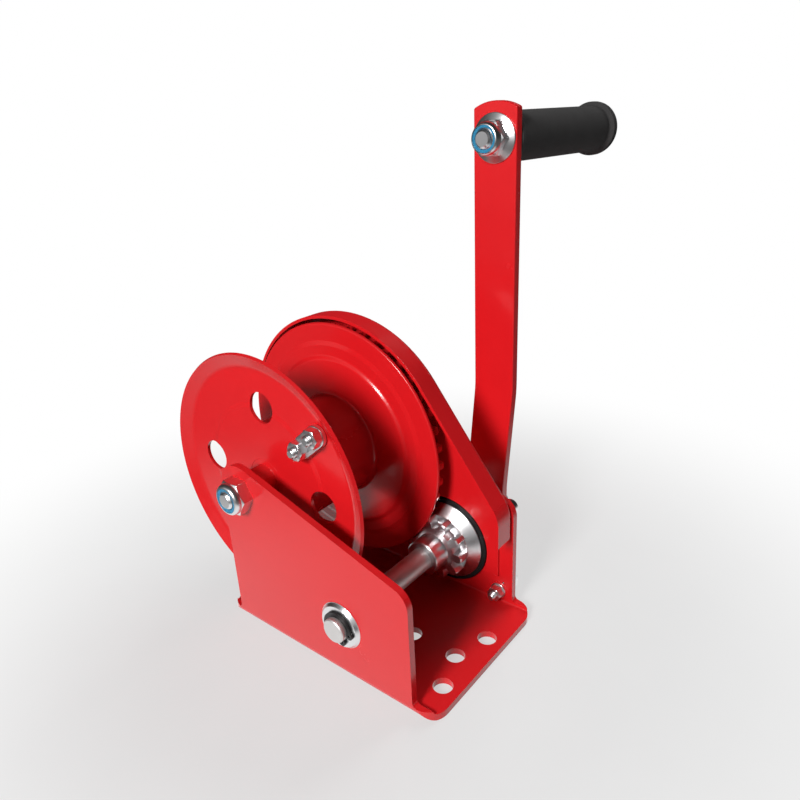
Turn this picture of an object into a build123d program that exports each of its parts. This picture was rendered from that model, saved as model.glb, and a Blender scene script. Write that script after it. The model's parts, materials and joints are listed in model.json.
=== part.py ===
from build123d import *
import os
from math import acos, atan2, cos, degrees, pi, radians, sin, sqrt, tan

# Hand winch with a screw-operated load brake.
# The origin is on the underside of the base, midway between the two front mounting holes.
# X points forward from the drum to the pinion, Y from the near plate to the crank, Z up.

# Bent sheet frame
sheet = 4.0
frame_width = 104.0
near_face = -44.5
bend_outside = 6.0
base_front = 10.5
base_tail = 28.9
base_corner = 12.0
plate_front = -3.0
plate_corner = 11.0
plate_corner_height = 65.0
plate_head = 16.5
foot_fillet = 2.5

# Mounting holes in the base
mount_hole = 11.0
mount_spacing = 44.0
middle_hole_front = -7.0
middle_hole_back = -37.0

# Gear train
module = 3.5
gear_teeth = 42
pinion_teeth = 10
pressure_angle = 20.0
tooth_backlash = 0.5
gear_addendum = 2.1
pinion_addendum = 2.8
tooth_dedendum = 3.5
gear_width = 7.0
flank_steps = 4
pinion_tooth_angle = -3.0
pinion_x = -49.2
pinion_height = 35.5
drum_height = 92.5

# Fits and gaps between pieces
running_fit = 0.05
thrust_gap = 0.2
bolt_clearance = 0.2
thread_fit = 0.05
tooth_end_gap = 0.6

# Gear guard
guard_sheet = 2.0
guard_gear_gap = 3.9
guard_depth = 16.1
guard_bend = 4.0
guard_corner = 20.0
guard_corner_height = 66.0
guard_front_gap = 0.5
guard_rim_end = 53.0
guard_face_setback = 9.0
guard_tail_angle = 240.0
guard_opening_gap = 0.75

# Drum
axle_sleeve_outer = 16.0
drum_nose_outer = 19.0
drum_bush_outer = 26.0
drum_bush_length = 24.0
drum_setback = 15.6
flange_sheet = 2.0
near_flange_radius = 77.6
near_flange_flare = 4.0
flare_width = 9.0
flare_fillet = 9.0
flange_step = 0.5
flange_step_width = 3.0
flange_hole = 18.6
flange_hole_circle = 45.7
flange_hole_count = 4
flange_hole_angle = -4.0
barrel_radius = 32.0
barrel_wall = 2.5
barrel_weld = 2.5
far_flange_margin = 0.6
far_step_radius = 56.0
far_step_width = 2.4
far_step_depth = 1.6
far_step_fillet = 3.0
far_bead_radius = 66.5
far_bead_width = 3.0
far_bead_depth = 0.8

# Rope clamp on the near flange
clamp_angle = 40.5
clamp_radius = 55.5
clamp_length = 26.0
clamp_width = 13.0
clamp_thickness = 3.0
clamp_bolt = 6.0
clamp_bolt_spacing = 16.0
clamp_bolt_head = 11.0
clamp_head_height = 2.5
clamp_nut_flats = 10.0
clamp_nut_height = 5.0
clamp_bolt_reach = 3.0

# Drum bolt and its lock nut
drum_bolt_size = 12.0
drum_bolt_flats = 18.0
drum_bolt_head = 7.5
drum_nut_flats = 19.0
drum_nut_height = 10.5
drum_bolt_reach = 0.9

# Pinion and its shaft
shaft_size = 14.0
thread_size = 16.0
shaft_end_size = 12.0
shaft_near_reach = 6.6
pinion_hub = 22.0
pinion_hub_length = 12.3
pinion_hub_chamfer = 0.8
pinion_hub_slope = 0.9
pinion_core_margin = 0.3
pinion_tooth_chamfer = 0.8
pinion_flare_length = 5.2
pinion_flare_fillet = 3.5
pinion_rim = 1.5
pinion_rim_size = 53.2
journal_size = 28.0
journal_reach = 0.5

# Bushes of the pinion shaft
near_bush_sleeve = 19.0
near_bush_flange = 27.4
near_bush_step = 25.6
near_bush_flange_height = 1.2
near_bush_step_height = 0.8
near_bush_inside = 2.0
far_bush_flange = 57.5
far_bush_height = 2.3
far_bush_sleeve = 34.0

# Circlip at the near end of the shaft
circlip_outer = 18.8
circlip_thickness = 1.2
circlip_groove = 0.6
circlip_gap = 46.0
circlip_angle = -40.0
circlip_lug = 2.2
circlip_lug_hole = 1.4

# Load brake
brake_disc_size = 62.0
brake_disc_thickness = 2.6
brake_sleeve = 24.0
friction_size = 58.0
friction_thickness = 1.8
friction_clearance = 0.5
ratchet_thickness = 4.6
ratchet_teeth = 12
ratchet_tip = 32.5
ratchet_root = 27.0
ratchet_back_steps = 4
brake_gap = 0.1

# Pawl and what carries it
pawl_x = -12.3
pawl_height = 11.1
pawl_bolt_size = 6.5
pawl_thread_size = 5.0
pawl_boss = 11.5
pawl_thickness = 4.2
pawl_gap = 0.35
pawl_nose_gap = 0.6
pawl_nose_width = 8.4
pawl_relief = 3.0
pawl_lever_reach = 7.2
pawl_lever_spread = 18.9
pawl_lever_end = 9.0
pawl_spacer_size = 10.0
pawl_head_size = 9.5
pawl_head_height = 2.4
pawl_nut_flats = 8.0
pawl_nut_height = 6.5
pawl_nut_flange = 10.0
pawl_nut_flange_height = 1.2
pawl_bolt_reach = 3.5
spring_wire = 1.0
spring_room = 0.6
spring_bend = 1.6

# Crank
crank_length = 234.2
arm_width = 28.0
arm_thickness = 6.0
arm_offset = 10.6
arm_bend_low = 19.0
arm_bend_high = 83.0
arm_bend_radius = 60.0
arm_end_rise = 19.4
arm_end_sagitta = 3.6
crank_hub_size = 30.0
crank_hub_length = 23.0
crank_flange_size = 60.0
crank_flange_thickness = 4.0
crank_spigot = 20.0
shaft_washer_size = 24.0
shaft_washer_thickness = 2.0
shaft_nut_flats = 18.0
shaft_nut_height = 8.0
shaft_end_reach = 3.0

# Grip and its bolt
grip_bolt_size = 12.0
grip_bolt_flats = 18.0
grip_bolt_head = 7.5
grip_nut_flats = 18.0
grip_nut_height = 12.0
grip_bolt_reach = 1.8
grip_nut_flange = 27.0
grip_nut_flange_height = 3.0
grip_length = 126.0
grip_gap = 0.6
grip_size = 28.2
grip_end_size = 29.4
grip_flange = 34.8
grip_flange_thickness = 6.0
grip_flare = 2.2
grip_collar = 28.8
grip_collar_length = 4.0
grip_collar_slope = 1.0
grip_pocket = 23.0
grip_pocket_depth = 10.0

# Shape of the lock nuts and of the bolts' ends
nut_collar_share = 0.33
nut_collar_wall = 1.2
nut_collar_round = 1.0
nut_corner_bevel = 30.0
insert_wall = 2.0
insert_depth = 2.4
insert_recess = 0.5
bolt_chamfer_share = 0.1

# Places along Y, from the near plate to the crank
near_inside = near_face + sheet
far_face = near_face + frame_width
far_inside = far_face - sheet
guard_face = far_inside - guard_sheet
guard_rim_face = far_inside - guard_depth
far_bush_face = far_inside - far_bush_height
pinion_back = far_bush_face - thrust_gap
pinion_flare_end = pinion_back - pinion_rim
pinion_flare_start = pinion_flare_end - pinion_flare_length
gear_back = pinion_flare_start - tooth_end_gap
gear_front = gear_back - gear_width
pinion_tooth_start = gear_front + tooth_end_gap
near_disc_face = near_inside + drum_setback
near_boss_face = near_disc_face - flange_step
journal_end = far_face + journal_reach
brake_disc_face = journal_end + brake_disc_thickness
ratchet_start = brake_disc_face + friction_thickness + brake_gap
ratchet_end = ratchet_start + ratchet_thickness
crank_flange_face = ratchet_end + brake_gap + friction_thickness
crank_hub_face = crank_flange_face + crank_flange_thickness
arm_low_face = crank_hub_face + crank_hub_length
arm_low_back = arm_low_face + arm_thickness
arm_high_face = arm_low_face + arm_offset
arm_high_back = arm_high_face + arm_thickness
pawl_inner = (ratchet_start + ratchet_end - pawl_thickness) / 2
pawl_outer = pawl_inner + pawl_thickness
pawl_head_seat = pawl_outer + thrust_gap
near_bush_face = near_face - near_bush_flange_height - near_bush_step_height
circlip_face = near_bush_face - thrust_gap
shaft_near_end = near_face - shaft_near_reach

# Places of the axes, as X and Z
centre_distance = module * (gear_teeth + pinion_teeth) / 2
drum_x = pinion_x - sqrt(centre_distance**2 - (drum_height - pinion_height) ** 2)
base_back = drum_x - base_tail
drum_axis = (drum_x, drum_height)
pinion_axis = (pinion_x, pinion_height)
pawl_axis = (pawl_x, pawl_height)
grip_axis = (pinion_x, pinion_height + crank_length)
mesh_angle = degrees(atan2(pinion_height - drum_height, pinion_x - drum_x))

# Radii that follow from the teeth
gear_pitch_radius = module * gear_teeth / 2
pinion_pitch_radius = module * pinion_teeth / 2
gear_tip_radius = gear_pitch_radius + gear_addendum
pinion_core_radius = pinion_pitch_radius - tooth_dedendum + pinion_core_margin
far_flange_radius = gear_tip_radius - far_flange_margin
guard_radius = gear_tip_radius + guard_gear_gap + guard_sheet
pinion_half_pitch = 180 / pinion_teeth
gear_tooth_turn = (mesh_angle + 180 + pinion_half_pitch - pinion_tooth_angle) * pinion_teeth / gear_teeth

# The pawl, in a frame at the pinion's axis whose X points along the tooth face that it holds
pawl_distance = sqrt((pawl_x - pinion_x) ** 2 + (pawl_height - pinion_height) ** 2)
pawl_direction = degrees(atan2(pawl_height - pinion_height, pawl_x - pinion_x))
pawl_level = (ratchet_tip + ratchet_root) / 2
stop_angle = pawl_direction + degrees(acos(pawl_level / pawl_distance))
pawl_drop = sqrt(pawl_distance**2 - pawl_level**2)
pawl_hip = -pawl_drop / 2
pawl_nose = ratchet_root + pawl_nose_gap
pawl_back = pawl_nose + pawl_nose_width


def slab(sketch, start, end):
    """A sketch drawn in X and Z, thickened along Y from start to end."""
    return extrude(Plane.XZ.offset(-start) * sketch, amount=start - end)


def disc(axis, size, start, end, bore=0.0):
    """A round disc or ring on an axis along Y; size and bore are diameters."""
    face = Circle(size / 2)
    if bore:
        face -= Circle(bore / 2)
    return slab(Pos(*axis) * face, start, end)


def turned(axis, profile):
    """A face drawn as radius and Y, turned about an axis along Y."""
    return Pos(axis[0], 0, axis[1]) * revolve(profile, Axis.Y)


def stamped(axis, points, radii, thickness):
    """A dished round sheet, from the middle line of its section."""
    middle_line = FilletPolyline(*points, radius=radii)
    return turned(axis, trace(middle_line, line_width=thickness))


def hexagon(axis, flats, start, end):
    """A hexagonal prism along Y."""
    return slab(Pos(*axis) * RegularPolygon(flats / 2, 6, major_radius=False), start, end)


def polar(radius, angle):
    """A point in the plane of X and Z from a radius and an angle in degrees."""
    return (radius * cos(radians(angle)), radius * sin(radians(angle)))


def bolt_shank(axis, size, start, end):
    """Round shank along Y with a chamfered end at its start."""
    bevel = size * bolt_chamfer_share
    profile = Polygon(
        (0, start),
        (size / 2 - bevel, start),
        (size / 2, start + bevel),
        (size / 2, end),
        (0, end),
        align=None,
    )
    return turned(axis, profile)


def gear_face(teeth, addendum):
    """An involute gear outline about the origin, with one tooth centred on X."""
    pitch_radius = module * teeth / 2
    base_radius = pitch_radius * cos(radians(pressure_angle))
    root_radius = pitch_radius - tooth_dedendum
    flank_start = max(base_radius, root_radius)
    flank_height = pitch_radius + addendum - flank_start

    def involute(radius):
        angle = acos(min(1.0, base_radius / radius))
        return tan(angle) - angle

    half_at_pitch = (pi * module / 2 - tooth_backlash / 2) / 2 / pitch_radius
    flank = [flank_start + flank_height * step / flank_steps for step in range(flank_steps + 1)]
    halves = [degrees(half_at_pitch + involute(pitch_radius) - involute(radius)) for radius in flank]
    side = [(root_radius, halves[0])] if root_radius < flank_start else []
    side += list(zip(flank, halves))
    points = []
    for tooth in range(teeth):
        centre = 360 / teeth * tooth
        points += [polar(radius, centre - half) for radius, half in side]
        points += [polar(radius, centre + half) for radius, half in reversed(side)]
    return Polygon(*points, align=None)


def lock_nut(axis, flats, seat, height, bolt):
    """A lock nut on the near side of its seat, with a round collar that holds the insert."""
    collar_height = height * nut_collar_share
    hex_end = seat - height + collar_height
    corner = flats / 2 / cos(radians(30))
    bevel = (corner - flats / 2) * tan(radians(nut_corner_bevel))
    collar = bolt / 2 + insert_wall + nut_collar_wall
    lip = (collar, seat - height)
    blank = Polygon(
        (bolt / 2 + thread_fit, seat),
        (corner, seat),
        (corner, hex_end + bevel),
        (flats / 2, hex_end),
        (collar, hex_end),
        lip,
        (bolt / 2 + insert_wall, seat - height),
        (bolt / 2 + insert_wall, seat - height + insert_depth),
        (bolt / 2 + thread_fit, seat - height + insert_depth),
        align=None,
    )
    blank = fillet(blank.vertices().sort_by_distance(lip)[0], nut_collar_round)
    return turned(axis, blank) & hexagon(axis, flats, seat, seat - height)


def nut_insert(axis, seat, height, bolt):
    """The ring in the collar of a lock nut."""
    end = seat - height
    size = bolt + 2 * insert_wall
    return disc(axis, size, end + insert_depth, end + insert_recess, bolt + 2 * thread_fit)


def base_frame():
    """Base plate and two side plates, bent from one sheet."""
    inside = bend_outside - sheet
    height = drum_height + plate_head
    middle = near_face + frame_width / 2
    outer = Pos(middle, height / 2) * Rectangle(frame_width, height)
    inner = Pos(middle, height / 2 + sheet) * Rectangle(frame_width - 2 * sheet, height)
    outer = fillet(outer.vertices().group_by(Axis.Y)[0], bend_outside)
    inner = fillet(inner.vertices().group_by(Axis.Y)[0], inside)
    length = base_front - base_back
    channel = extrude(Plane.YZ.offset(base_back) * (outer - inner), amount=length)

    front_corner = (plate_front - plate_corner, plate_corner_height)
    plate_back = drum_x - plate_head
    plate_length = plate_front - plate_back
    foot = Pos((plate_front + plate_back) / 2, bend_outside / 2) * Rectangle(plate_length, bend_outside)
    head = Pos(*drum_axis) * Circle(plate_head)
    corner = Pos(*front_corner) * Circle(plate_corner)
    plate = make_hull([*head.edges(), *corner.edges(), *foot.edges()])
    strip = Pos((base_front + base_back) / 2, bend_outside / 2) * Rectangle(length, bend_outside)
    side = plate + strip
    inner_corners = [
        vertex
        for vertex in side.vertices()
        if abs(vertex.Y - bend_outside) < 1e-6 and plate_back - 1 < vertex.X < plate_front + 1
    ]
    side = fillet(inner_corners, foot_fillet)
    plan = Pos((base_front + base_back) / 2, middle) * RectangleRounded(length, frame_width, base_corner)

    frame = channel & slab(side, near_face, far_face) & extrude(plan, amount=height)
    for y in (-mount_spacing / 2, mount_spacing / 2):
        frame -= Pos(0, y, sheet / 2) * Cylinder(mount_hole / 2, 2 * sheet)
    for x in (middle_hole_front, middle_hole_back):
        frame -= Pos(x, 0, sheet / 2) * Cylinder(mount_hole / 2, 2 * sheet)
    frame -= disc(drum_axis, drum_bolt_size + 2 * bolt_clearance, near_face, far_face)
    frame -= disc(pinion_axis, near_bush_sleeve, near_face, near_inside)
    frame -= disc(pinion_axis, far_bush_sleeve, far_inside, far_face)
    frame -= disc(pawl_axis, pawl_thread_size + 2 * bolt_clearance, far_inside, far_face)
    frame -= spring_anchor_hole()
    return frame


def gear_guard():
    """Stamped cover against the far plate, its rim round the gear and down to the front."""
    front = plate_front - guard_front_gap
    tail = polar(guard_radius, guard_tail_angle)
    tail = (drum_x + tail[0], drum_height + tail[1])
    along = polar(guard_radius, guard_tail_angle + 90)
    skirt_back = (tail[0] + along[0], tail[1] + along[1])
    skirt = Line(skirt_back, (front, skirt_back[1]))

    def outline(inset):
        round_gear = Pos(*drum_axis) * Circle(guard_radius - inset)
        front_corner = Pos(front - guard_corner, guard_corner_height) * Circle(guard_corner - inset)
        hem = Pos(-inset, 0) * skirt
        return make_hull([*round_gear.edges(), *front_corner.edges(), hem])

    outer = slab(outline(0), guard_rim_face, far_inside)
    outer = fillet(outer.faces().sort_by(Axis.Y)[-1].edges(), guard_bend)
    inner = slab(outline(guard_sheet), guard_rim_face, guard_face)
    inner = fillet(inner.faces().sort_by(Axis.Y)[-1].edges(), guard_bend - guard_sheet)
    guard = outer - inner
    width = 4 * guard_radius
    below = Pos(drum_x, tail[1] - width / 2) * Rectangle(2 * width, width)
    ahead_edge = plate_front - guard_face_setback
    ahead = Pos(ahead_edge + width / 2, guard_rim_end - width / 2) * Rectangle(width, width)
    guard -= slab(below + ahead, guard_rim_face, far_inside)
    guard -= disc(drum_axis, drum_bolt_size + 2 * bolt_clearance, guard_face, far_inside)
    guard -= disc(pinion_axis, far_bush_flange + 2 * guard_opening_gap, guard_face, far_inside)
    guard -= disc(pawl_axis, pawl_nut_flange + 2 * guard_opening_gap, guard_face, far_inside)
    return guard


def axle_sleeve():
    """Tube between the near plate and the guard, clamped by the drum bolt."""
    return disc(drum_axis, axle_sleeve_outer, near_inside, guard_face, drum_bolt_size + 2 * bolt_clearance)


def drum_bolt():
    """Hexagon bolt through both side plates."""
    shank = bolt_shank(drum_axis, drum_bolt_size, near_face - drum_nut_height - drum_bolt_reach, far_face)
    return shank + hexagon(drum_axis, drum_bolt_flats, far_face, far_face + drum_bolt_head)


def drum_nut():
    """Lock nut on the drum bolt."""
    return lock_nut(drum_axis, drum_nut_flats, near_face, drum_nut_height, drum_bolt_size)


def drum_nut_insert():
    """Insert of the drum bolt's lock nut."""
    return nut_insert(drum_axis, near_face, drum_nut_height, drum_bolt_size)


def drum_near_flange():
    """Stamped disc with a raised middle, round openings and a flared lip."""
    half = flange_sheet / 2
    boss = near_boss_face + half
    face = near_disc_face + half
    lip = face - near_flange_flare
    bore = drum_bush_outer / 2
    step = flange_hole_circle
    points = [
        (bore, boss),
        (step - flange_step_width / 2, boss),
        (step + flange_step_width / 2, face),
        (near_flange_radius - flare_width, face),
        (near_flange_radius - half, lip),
    ]
    flange = stamped(drum_axis, points, [2 * half, 2 * half, flare_fillet], flange_sheet)
    for hole in range(flange_hole_count):
        angle = flange_hole_angle + 360 / flange_hole_count * hole
        x, z = polar(flange_hole_circle, angle)
        flange -= disc((drum_x + x, drum_height + z), flange_hole, lip - sheet, face + sheet)
    for x, z in clamp_bolt_places():
        flange -= disc((x, z), clamp_bolt + 2 * bolt_clearance, lip - sheet, face + sheet)
    return flange


def far_middle():
    """Place along Y of the middle line of the far flange's flat middle."""
    return gear_front - flange_sheet / 2 - far_bead_depth - far_step_depth


def drum_barrel():
    """Tube between the flanges, with a weld bead at each end."""
    start = near_boss_face + flange_sheet
    end = far_middle() - flange_sheet / 2
    inside = barrel_radius - barrel_wall
    profile = Polygon(
        (inside, start),
        (barrel_radius + barrel_weld, start),
        (barrel_radius, start + barrel_weld),
        (barrel_radius, end - barrel_weld),
        (barrel_radius + barrel_weld, end),
        (inside, end),
        align=None,
    )
    return turned(drum_axis, profile)


def drum_far_flange():
    """Stamped disc with a stepped middle, a bead and a flat edge against the gear."""
    edge = gear_front - flange_sheet / 2
    ring = edge - far_bead_depth
    points = [
        (drum_bush_outer / 2, far_middle()),
        (far_step_radius - far_step_width / 2, far_middle()),
        (far_step_radius + far_step_width / 2, ring),
        (far_bead_radius - far_bead_width, ring),
        (far_bead_radius, edge),
        (far_flange_radius, edge),
    ]
    radii = [far_step_fillet, far_step_fillet, flange_sheet, flange_sheet]
    return stamped(drum_axis, points, radii, flange_sheet)


def drum_gear():
    """Gear fixed to the far flange, turned so that its teeth stand in the pinion's gaps."""
    teeth = Rot(Z=mesh_angle + gear_tooth_turn) * gear_face(gear_teeth, gear_addendum)
    face = teeth - Circle(drum_bush_outer / 2)
    return slab(Pos(*drum_axis) * face, gear_front, gear_back)


def drum_bushes():
    """Two bushes that carry the drum on the axle sleeve, the near one with a nose to the near plate."""
    bore = axle_sleeve_outer + 2 * running_fit
    near_start = near_inside + thrust_gap
    near_end = near_boss_face + flange_sheet + drum_bush_length / 2
    far_end = guard_face - thrust_gap
    near = disc(drum_axis, drum_bush_outer, near_boss_face, near_end, bore)
    near += disc(drum_axis, drum_nose_outer, near_start, near_boss_face, bore)
    far = disc(drum_axis, drum_bush_outer, far_end - drum_bush_length, far_end, bore)
    return Compound(children=[near, far])


def clamp_bolt_places():
    """Centres of the two clamp bolts, as X and Z."""
    places = []
    for shift in (-clamp_bolt_spacing / 2, clamp_bolt_spacing / 2):
        x, z = polar(clamp_radius + shift, clamp_angle)
        places.append((drum_x + x, drum_height + z))
    return places


def rope_clamp():
    """Saddle plate that presses the rope's end against the near flange."""
    shape = Rot(Z=clamp_angle) * Pos(clamp_radius, 0) * SlotOverall(clamp_length, clamp_width)
    clamp = slab(Pos(*drum_axis) * shape, near_boss_face - clamp_thickness, near_boss_face)
    clamp = fillet(clamp.faces().sort_by(Axis.Y)[0].edges(), clamp_thickness / 3)
    hole = clamp_bolt + 2 * bolt_clearance
    for place in clamp_bolt_places():
        clamp -= disc(place, hole, near_boss_face - clamp_thickness, near_boss_face)
    return clamp


def clamp_bolts():
    """Two bolts from the rope side of the near flange."""
    head_start = near_disc_face + flange_sheet
    end = near_boss_face - clamp_thickness - clamp_nut_height - clamp_bolt_reach
    bolts = []
    for place in clamp_bolt_places():
        head = disc(place, clamp_bolt_head, head_start, head_start + clamp_head_height)
        bolts.append(bolt_shank(place, clamp_bolt, end, head_start) + head)
    return Compound(children=bolts)


def clamp_nuts():
    """Two plain nuts on the clamp."""
    seat = near_boss_face - clamp_thickness
    nuts = []
    for place in clamp_bolt_places():
        nut = hexagon(place, clamp_nut_flats, seat - clamp_nut_height, seat)
        nuts.append(nut - disc(place, clamp_bolt + 2 * thread_fit, seat - clamp_nut_height, seat))
    return Compound(children=nuts)


def pinion():
    """Pinion with a hub towards the near plate and teeth that run into a flared rim."""
    bore = shaft_size / 2
    hub = pinion_hub / 2
    core = pinion_core_radius
    rim = pinion_rim_size / 2
    hub_start = pinion_tooth_start - pinion_hub_length
    flare_corner = (core, pinion_flare_start)
    body = Polygon(
        (bore, hub_start),
        (hub - pinion_hub_chamfer, hub_start),
        (hub, hub_start + pinion_hub_chamfer),
        (hub, pinion_tooth_start - pinion_hub_slope),
        (core, pinion_tooth_start),
        flare_corner,
        (rim, pinion_flare_end),
        (rim, pinion_back),
        (journal_size / 2, pinion_back),
        (journal_size / 2, journal_end),
        (bore, journal_end),
        align=None,
    )
    inner_corner = body.vertices().sort_by_distance(flare_corner)[0]
    body = fillet(inner_corner, pinion_flare_fillet)
    tip = pinion_pitch_radius + pinion_addendum
    envelope = Polygon(
        (bore, pinion_tooth_start),
        (tip - pinion_tooth_chamfer, pinion_tooth_start),
        (tip, pinion_tooth_start + pinion_tooth_chamfer),
        (tip, pinion_flare_end),
        (bore, pinion_flare_end),
        align=None,
    )
    outline = Pos(*pinion_axis) * Rot(Z=pinion_tooth_angle) * gear_face(pinion_teeth, pinion_addendum)
    teeth = slab(outline, pinion_tooth_start, pinion_flare_end) & turned(pinion_axis, envelope)
    return turned(pinion_axis, body) + teeth


def pinion_shaft():
    """Stepped shaft from the near bush to the crank, with a groove for the circlip."""
    radius = shaft_size / 2
    thread = thread_size / 2
    end = shaft_end_size / 2
    chamfer_size = circlip_groove
    groove_end = circlip_face - circlip_thickness
    shaft_end = arm_low_back + thrust_gap + shaft_washer_thickness + shaft_nut_height + shaft_end_reach
    profile = Polygon(
        (0, shaft_near_end),
        (radius - chamfer_size, shaft_near_end),
        (radius, shaft_near_end + chamfer_size),
        (radius, groove_end),
        (radius - circlip_groove, groove_end),
        (radius - circlip_groove, circlip_face),
        (radius, circlip_face),
        (radius, journal_end),
        (thread, journal_end),
        (thread, arm_low_back + thrust_gap),
        (end, arm_low_back + thrust_gap),
        (end, shaft_end),
        (0, shaft_end),
        align=None,
    )
    return turned(pinion_axis, profile)


def near_bush():
    """Flanged bush in the near plate."""
    bore = shaft_size / 2 + running_fit
    profile = Polygon(
        (bore, near_bush_face),
        (near_bush_step / 2, near_bush_face),
        (near_bush_step / 2, near_face - near_bush_flange_height),
        (near_bush_flange / 2, near_face - near_bush_flange_height),
        (near_bush_flange / 2, near_face),
        (near_bush_sleeve / 2, near_face),
        (near_bush_sleeve / 2, near_inside + near_bush_inside),
        (bore, near_inside + near_bush_inside),
        align=None,
    )
    return turned(pinion_axis, profile)


def far_bush():
    """Black flanged bush in the far plate, behind the pinion's rim."""
    bore = journal_size / 2 + running_fit
    profile = Polygon(
        (bore, far_bush_face),
        (far_bush_flange / 2, far_bush_face),
        (far_bush_flange / 2, far_inside),
        (far_bush_sleeve / 2, far_inside),
        (far_bush_sleeve / 2, far_face),
        (bore, far_face),
        align=None,
    )
    return turned(pinion_axis, profile)


def shaft_circlip():
    """Open ring in the shaft's groove, with two drilled lugs."""
    inner = shaft_size / 2 - circlip_groove
    outer = circlip_outer / 2
    middle = (inner + outer) / 2
    ring = Circle(outer) - Circle(inner)
    half_gap = radians(circlip_gap / 2)
    far_corner = 2 * outer
    opening = Polygon(
        (0, 0),
        (far_corner, -far_corner * tan(half_gap)),
        (far_corner, far_corner * tan(half_gap)),
        align=None,
    )
    ring -= opening
    for side in (-1, 1):
        x, z = polar(middle + circlip_lug / 4, side * (circlip_gap / 2 + degrees(circlip_lug / 2 / middle)))
        ring += Pos(x, z) * Circle(circlip_lug)
        ring -= Pos(x, z) * Circle(circlip_lug_hole / 2)
    ring -= Circle(inner)
    ring = Pos(*pinion_axis) * Rot(Z=circlip_angle) * ring
    return slab(ring, circlip_face - circlip_thickness, circlip_face)


def brake_hub():
    """Disc fixed on the shaft, with the sleeve that carries the ratchet wheel."""
    bore = thread_size / 2
    sleeve_end = crank_flange_face - thrust_gap
    profile = Polygon(
        (bore, journal_end),
        (brake_disc_size / 2, journal_end),
        (brake_disc_size / 2, brake_disc_face),
        (brake_sleeve / 2, brake_disc_face),
        (brake_sleeve / 2, sleeve_end),
        (bore, sleeve_end),
        align=None,
    )
    return turned(pinion_axis, profile)


def inner_friction_disc():
    """Friction lining between the brake hub and the ratchet wheel."""
    bore = brake_sleeve + 2 * friction_clearance
    return disc(pinion_axis, friction_size, brake_disc_face, brake_disc_face + friction_thickness, bore)


def outer_friction_disc():
    """Friction lining between the ratchet wheel and the crank's hub."""
    bore = brake_sleeve + 2 * friction_clearance
    return disc(pinion_axis, friction_size, crank_flange_face - friction_thickness, crank_flange_face, bore)


def ratchet_wheel():
    """Saw-toothed wheel, steep faces towards the pawl's nose."""
    pitch = 360 / ratchet_teeth
    points = []
    for tooth in range(ratchet_teeth):
        start = stop_angle + pitch * tooth
        for step in range(ratchet_back_steps + 1):
            share = step / ratchet_back_steps
            radius = ratchet_tip + (ratchet_root - ratchet_tip) * share
            points.append(polar(radius, start + pitch * share))
    face = Polygon(*points, align=None) - Circle(brake_sleeve / 2 + running_fit)
    return slab(Pos(*pinion_axis) * face, ratchet_start, ratchet_end)


def pawl():
    """Pawl with a nose in the ratchet teeth and a finger lever at its top."""
    relief = pawl_nose + pawl_relief
    boss = Pos(pawl_level, -pawl_drop) * Circle(pawl_boss / 2)
    arm = make_hull([*boss.edges(), Line((relief, pawl_hip), (pawl_back, pawl_hip))])
    nose = Polygon(
        (relief, pawl_hip),
        (pawl_back, pawl_hip),
        (pawl_back, -pawl_gap),
        (pawl_nose, -pawl_gap),
        (relief, pawl_hip / 2),
        align=None,
    )
    thumb = Pos(pawl_back + pawl_lever_reach, pawl_lever_spread) * Circle(pawl_lever_end / 2)
    root = pawl_back - pawl_relief
    lever = make_hull([*thumb.edges(), Line((root, pawl_hip), (root, -pawl_gap))])
    wheel_side = Pos(0, pawl_distance / 2 - pawl_gap) * Rectangle(2 * pawl_back, pawl_distance)
    face = arm + nose + (lever - wheel_side)
    face -= Pos(pawl_level, -pawl_drop) * Circle(pawl_bolt_size / 2 + running_fit)
    return slab(Pos(*pinion_axis) * Rot(Z=stop_angle) * face, pawl_inner, pawl_outer)


def pawl_bolt():
    """Pivot bolt of the pawl, with a round head and a thinner threaded end."""
    end = far_inside - pawl_nut_height - pawl_bolt_reach
    head = disc(pawl_axis, pawl_head_size, pawl_head_seat, pawl_head_seat + pawl_head_height)
    pivot = disc(pawl_axis, pawl_bolt_size, far_face, pawl_head_seat)
    return head + pivot + bolt_shank(pawl_axis, pawl_thread_size, end, far_face)


def pawl_spacer():
    """Tube that keeps the pawl in line with the ratchet wheel."""
    bore = pawl_bolt_size + 2 * bolt_clearance
    return disc(pawl_axis, pawl_spacer_size, far_face, pawl_inner - thrust_gap, bore)


def pawl_nut():
    """Flanged nut of the pawl's bolt, on the inner face of the far plate."""
    end = far_inside - pawl_nut_height
    nut = hexagon(pawl_axis, pawl_nut_flats, end, far_inside)
    nut += disc(pawl_axis, pawl_nut_flange, far_inside - pawl_nut_flange_height, far_inside)
    return nut - disc(pawl_axis, pawl_thread_size + 2 * thread_fit, end, far_inside)


def spring_route():
    """Corners of the pawl spring's wire: hook in the plate, coil round the spacer, leg to the pawl."""
    coil = pawl_spacer_size / 2 + spring_wire / 2 + spring_room
    x, z = pawl_axis
    start = far_face + spring_wire
    pitch = (pawl_inner - spring_wire - start) / 4
    touch = Pos(*pinion_axis) * Rot(Z=stop_angle) * Pos(pawl_back + spring_wire, pawl_hip)
    leg = touch.position
    return [
        (x + coil / 2, far_inside, z + coil),
        (x + coil / 2, start, z + coil),
        (x - coil, start + pitch, z + coil),
        (x - coil, start + 2 * pitch, z - coil),
        (x + coil + spring_wire, start + 3 * pitch, z - coil),
        (leg.X, start + 4 * pitch, leg.Y),
        (leg.X, pawl_outer, leg.Y),
    ]


def spring_anchor_hole():
    """Hole in the far plate for the hooked end of the spring."""
    hook = spring_route()[0]
    return disc((hook[0], hook[2]), spring_wire + 2 * bolt_clearance, far_inside, far_face)


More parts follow.
